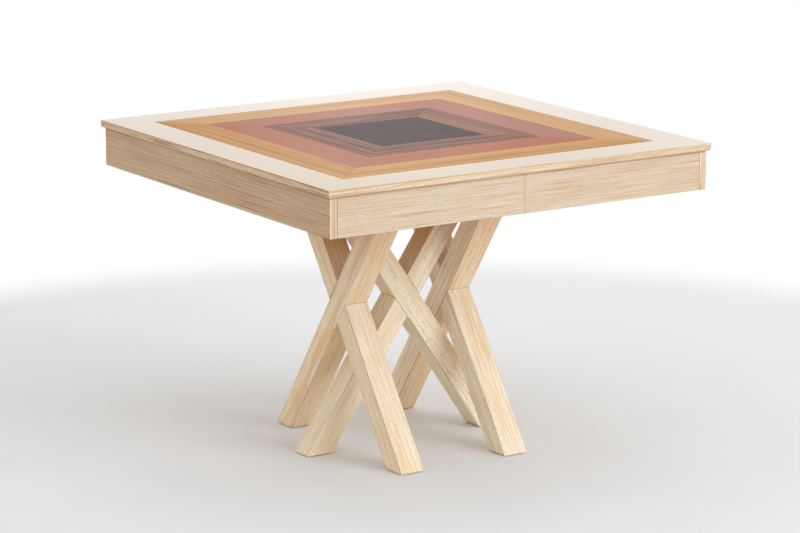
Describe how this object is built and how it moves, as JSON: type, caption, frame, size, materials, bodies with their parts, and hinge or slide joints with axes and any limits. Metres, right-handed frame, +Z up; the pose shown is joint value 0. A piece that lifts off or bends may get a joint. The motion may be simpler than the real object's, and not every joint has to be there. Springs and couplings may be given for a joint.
{
  "type": "extending dining table",
  "caption": "Square extending dining table with a mitred inlaid top split at the middle, geared equalising slides, a stowed folding leaf and a base of interlaced crossed legs.",
  "frame": {"origin": "on the floor, under the middle of the square top", "axes": "+Z up; +X runs along the front apron to the right, the way the right half opens; +Y runs to the back"},
  "size_m": [1.067, 1.067, 0.768],
  "materials": {
    "pale_ash": "clear satin lacquer over open straight grain",
    "border_maple": "clear satin lacquer, close pale grain",
    "orange_inlay": "satin lacquer, streaked grain",
    "red_inlay": "satin lacquer, quiet grain",
    "walnut_inlay": "satin lacquer, strong streaks",
    "dark_inlay": "satin lacquer, near black",
    "core_board": "plain sanded board",
    "frame_beech": "sanded, unfinished",
    "slide_beech": "waxed hardwood",
    "dowel_birch": "plain",
    "rack_nylon": "moulded",
    "glide_felt": "dark matt",
    "steel": "zinc plated",
    "brass": "satin plated"
  },
  "bodies": {
    "base": {"left_frame_long_leg": "pale_ash", "left_frame_upper_leg": "pale_ash", "left_frame_lower_leg": "pale_ash", "middle_frame_long_leg": "pale_ash", "middle_frame_upper_leg": "pale_ash", "middle_frame_lower_leg": "pale_ash", "right_frame_long_leg": "pale_ash", "right_frame_upper_leg": "pale_ash", "right_frame_lower_leg": "pale_ash", "crossing_dowels": "dowel_birch", "foot_glides": "glide_felt", "left_bearer": "frame_beech", "right_bearer": "frame_beech", "bearer_ties": "frame_beech", "frame_bolts": "steel", "front_middle_rail": "slide_beech", "back_middle_rail": "slide_beech", "rail_bolts": "steel", "pinion_axles": "steel", "leaf_lower_board": "pale_ash", "leaf_upper_board": "pale_ash", "leaf_hinges": "brass", "leaf_pins": "dowel_birch"},
    "left_half": {"left_core_board": "core_board", "left_border": "border_maple", "left_orange_band": "orange_inlay", "left_red_band": "red_inlay", "left_walnut_band": "walnut_inlay", "left_centre_panel": "dark_inlay", "left_end_apron": "pale_ash", "left_front_apron": "pale_ash", "left_back_apron": "pale_ash", "left_corner_blocks": "frame_beech", "left_battens": "frame_beech", "left_slide_arms": "slide_beech", "left_racks": "rack_nylon", "left_stop_dowels": "dowel_birch", "left_screws": "steel", "lock_plates": "brass"},
    "right_half": {"right_core_board": "core_board", "right_border": "border_maple", "right_orange_band": "orange_inlay", "right_red_band": "red_inlay", "right_walnut_band": "walnut_inlay", "right_centre_panel": "dark_inlay", "right_end_apron": "pale_ash", "right_front_apron": "pale_ash", "right_back_apron": "pale_ash", "right_corner_blocks": "frame_beech", "right_battens": "frame_beech", "right_slide_arms": "slide_beech", "right_racks": "rack_nylon", "right_stop_dowels": "dowel_birch", "right_screws": "steel", "strike_plates": "brass", "alignment_pins": "dowel_birch"},
    "front_pinion": {"front_pinion": "rack_nylon"},
    "back_pinion": {"back_pinion": "rack_nylon"},
    "front_lock_lever": {"front_lock_lever": "brass"},
    "back_lock_lever": {"back_lock_lever": "brass"}
  },
  "joints": [
    {"name": "left_half_slide", "type": "slide", "parent": "base", "child": "left_half", "axis": [-1, 0, 0], "range_m": [0, 0.2285]},
    {"name": "right_half_slide", "type": "slide", "parent": "base", "child": "right_half", "axis": [1, 0, 0], "range_m": [0, 0.2285]},
    {"name": "front_pinion_spin", "type": "hinge", "parent": "base", "child": "front_pinion", "pos_m": [0, -0.34025, 0.709], "axis": [0, 0, -1], "range_deg": [0, 655]},
    {"name": "back_pinion_spin", "type": "hinge", "parent": "base", "child": "back_pinion", "pos_m": [0, 0.34025, 0.709], "axis": [0, 0, 1], "range_deg": [0, 655]},
    {"name": "front_lock_turn", "type": "hinge", "parent": "left_half", "child": "front_lock_lever", "pos_m": [-0.026, -0.4445, 0.7465], "axis": [0, 0, 1], "range_deg": [0, 90]},
    {"name": "back_lock_turn", "type": "hinge", "parent": "left_half", "child": "back_lock_lever", "pos_m": [-0.026, 0.4445, 0.7465], "axis": [0, 0, -1], "range_deg": [0, 90]}
  ],
  "couplings": [
    {"joint": "right_half_slide", "follows": "left_half_slide", "ratio": 1},
    {"joint": "front_pinion_spin", "follows": "left_half_slide", "rad_per_m": 50},
    {"joint": "back_pinion_spin", "follows": "left_half_slide", "rad_per_m": 50}
  ]
}
